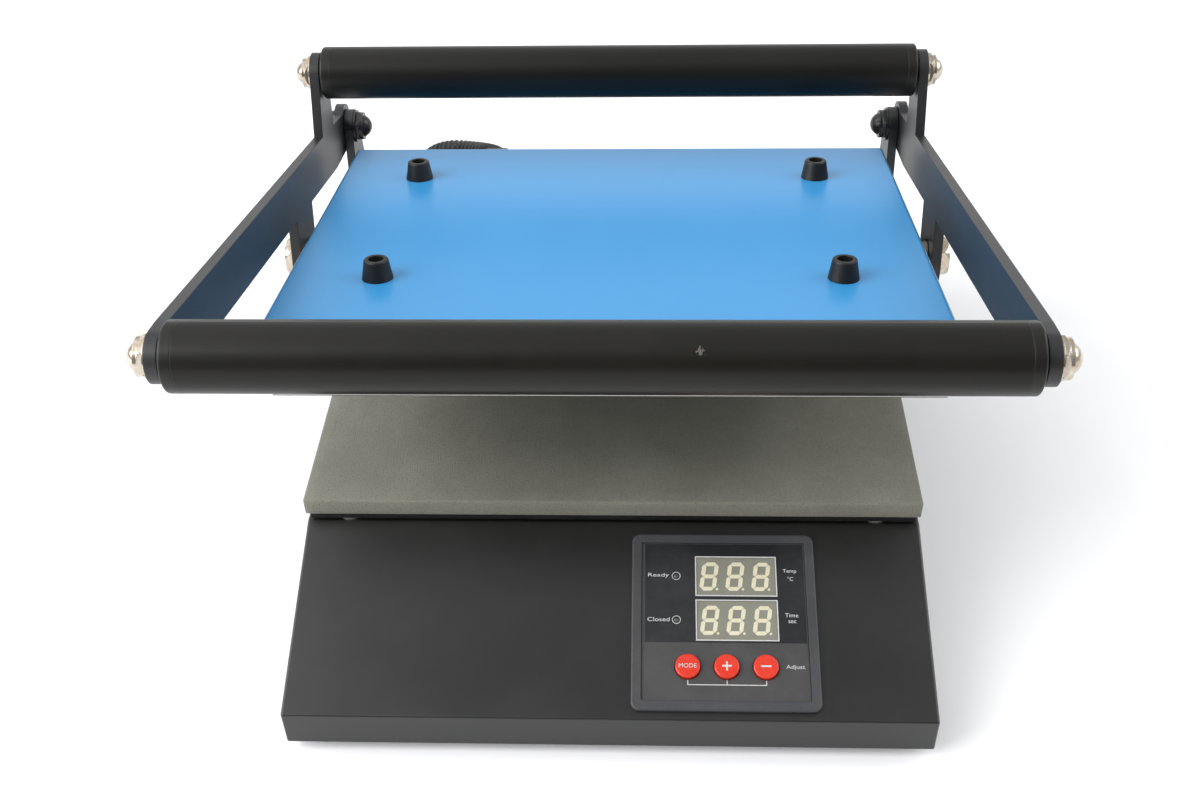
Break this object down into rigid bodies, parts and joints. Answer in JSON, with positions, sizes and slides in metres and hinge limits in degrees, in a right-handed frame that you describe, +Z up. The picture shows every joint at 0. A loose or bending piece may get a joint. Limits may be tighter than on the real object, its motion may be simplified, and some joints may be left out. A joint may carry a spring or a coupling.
{
  "type": "heat transfer press",
  "caption": "Small clamshell heat press, half open: floating heated platen on two lifting side arms with roller grips, over a silicone pad on a sloped control base.",
  "frame": {"origin": "centre of the outline on the plane of the rubber feet", "axes": "+Z up, front with the control slope towards -Y, +X to the operator's right"},
  "size_m": [0.3542, 0.393, 0.2374],
  "materials": {
    "black_enamel": "satin near-black enamel on folded sheet",
    "black_frame": "satin black powder coat",
    "black_tube": "smooth satin black coat",
    "black_steel": "black oxide",
    "blue_enamel": "satin blue enamel",
    "zinc_steel": "zinc plated",
    "nickel": "bright nickel plating",
    "element_steel": "heat-tinted sheath",
    "cast_aluminium": "milled face, non-stick coat",
    "aluminium_block": "sawn bar",
    "silicone_foam": "matte open-cell silicone foam",
    "black_rubber": "matte moulded rubber",
    "grey_plastic": "fine-textured dark grey",
    "black_plastic": "moulded black",
    "black_conduit": "corrugated black nylon",
    "black_overlay": "printed black overlay film",
    "display_window": "unlit seven-segment window",
    "lamp_lens": "smoked lens, unlit",
    "red_button": "glossy red",
    "circuit_board": "green solder mask",
    "white_ceramic": "white ceramic",
    "glass_wool": "pressed glass fibre"
  },
  "bodies": {
    "base": {"base_housing": "black_enamel", "base_bottom_plate": "zinc_steel", "base_feet": "black_rubber", "base_foot_screws": "zinc_steel", "tray_standoffs": "zinc_steel", "pad_tray": "black_steel", "tray_screws": "zinc_steel", "silicone_pad": "silicone_foam", "controller_housing": "grey_plastic", "controller_face": "black_overlay", "controller_board": "circuit_board", "temperature_display": "display_window", "time_display": "display_window", "indicator_lamps": "lamp_lens", "button_switches": "black_plastic", "power_inlet": "black_plastic", "inlet_pins": "nickel", "switch_housing": "black_plastic", "rocker_pin": "zinc_steel", "fuse_holder": "black_plastic", "heater_relay": "black_plastic", "mains_terminal_block": "white_ceramic", "bracket_left": "black_frame", "bracket_right": "black_frame", "bracket_blocks": "aluminium_block", "bracket_bolts": "black_steel", "bracket_nuts": "zinc_steel", "pivot_bolts": "black_steel", "pivot_washers": "black_steel", "pivot_nuts": "black_steel", "deck_gland": "black_plastic", "cable_conduit": "black_conduit"},
    "frame": {"side_plate_left": "black_frame", "side_plate_right": "black_frame", "front_axle": "zinc_steel", "rear_axle": "zinc_steel", "axle_washers": "nickel", "axle_acorn_nuts": "nickel"},
    "front_grip": {"front_roller": "black_tube", "front_roller_caps": "black_plastic"},
    "rear_grip": {"rear_roller": "black_tube", "rear_roller_caps": "black_plastic"},
    "heater": {"heater_plate": "cast_aluminium", "heating_element": "element_steel", "element_clamps": "zinc_steel", "insulation_mat": "glass_wool", "thermal_cutout": "white_ceramic", "temperature_probe": "zinc_steel", "heater_terminal_block": "white_ceramic", "cover_posts": "zinc_steel", "heater_cover": "blue_enamel", "cover_feet": "black_rubber", "cover_foot_screws": "zinc_steel", "lug_bolts": "nickel", "lug_spacers": "nickel", "heater_gland": "black_plastic"},
    "mode_key": {"mode_button": "red_button"},
    "plus_key": {"plus_button": "red_button"},
    "minus_key": {"minus_button": "red_button"},
    "rocker": {"power_rocker": "red_button"}
  },
  "joints": [
    {"name": "frame_lift", "type": "hinge", "parent": "base", "child": "frame", "pos_m": [0, 0.1495, 0.136], "axis": [-1, 0, 0], "range_deg": [-22.8, 40], "deforming": ["cable_conduit"]},
    {"name": "heater_float", "type": "hinge", "parent": "frame", "child": "heater", "pos_m": [0, 0.02545, 0.12732], "axis": [-1, 0, 0], "range_deg": [-20.8, 12]},
    {"name": "front_grip_spin", "type": "hinge", "parent": "frame", "child": "front_grip", "pos_m": [0, -0.18218, 0.22342], "axis": [1, 0, 0], "continuous": true},
    {"name": "rear_grip_spin", "type": "hinge", "parent": "frame", "child": "rear_grip", "pos_m": [0, 0.11397, 0.18857], "axis": [1, 0, 0], "continuous": true},
    {"name": "mode_press", "type": "slide", "parent": "base", "child": "mode_key", "axis": [0, 0.3259, -0.9454], "range_m": [0, 0.0008], "stiffness_N_per_m": 400, "springref_m": -0.001},
    {"name": "plus_press", "type": "slide", "parent": "base", "child": "plus_key", "axis": [0, 0.3259, -0.9454], "range_m": [0, 0.0008], "stiffness_N_per_m": 400, "springref_m": -0.001},
    {"name": "minus_press", "type": "slide", "parent": "base", "child": "minus_key", "axis": [0, 0.3259, -0.9454], "range_m": [0, 0.0008], "stiffness_N_per_m": 400, "springref_m": -0.001},
    {"name": "power_rock", "type": "hinge", "parent": "base", "child": "rocker", "pos_m": [-0.02, 0.1915, 0.03], "axis": [0, 0, 1], "range_deg": [-16, 0]}
  ],
  "couplings": [
    {"joint": "heater_float", "follows": "frame_lift", "ratio": -0.51452}
  ]
}
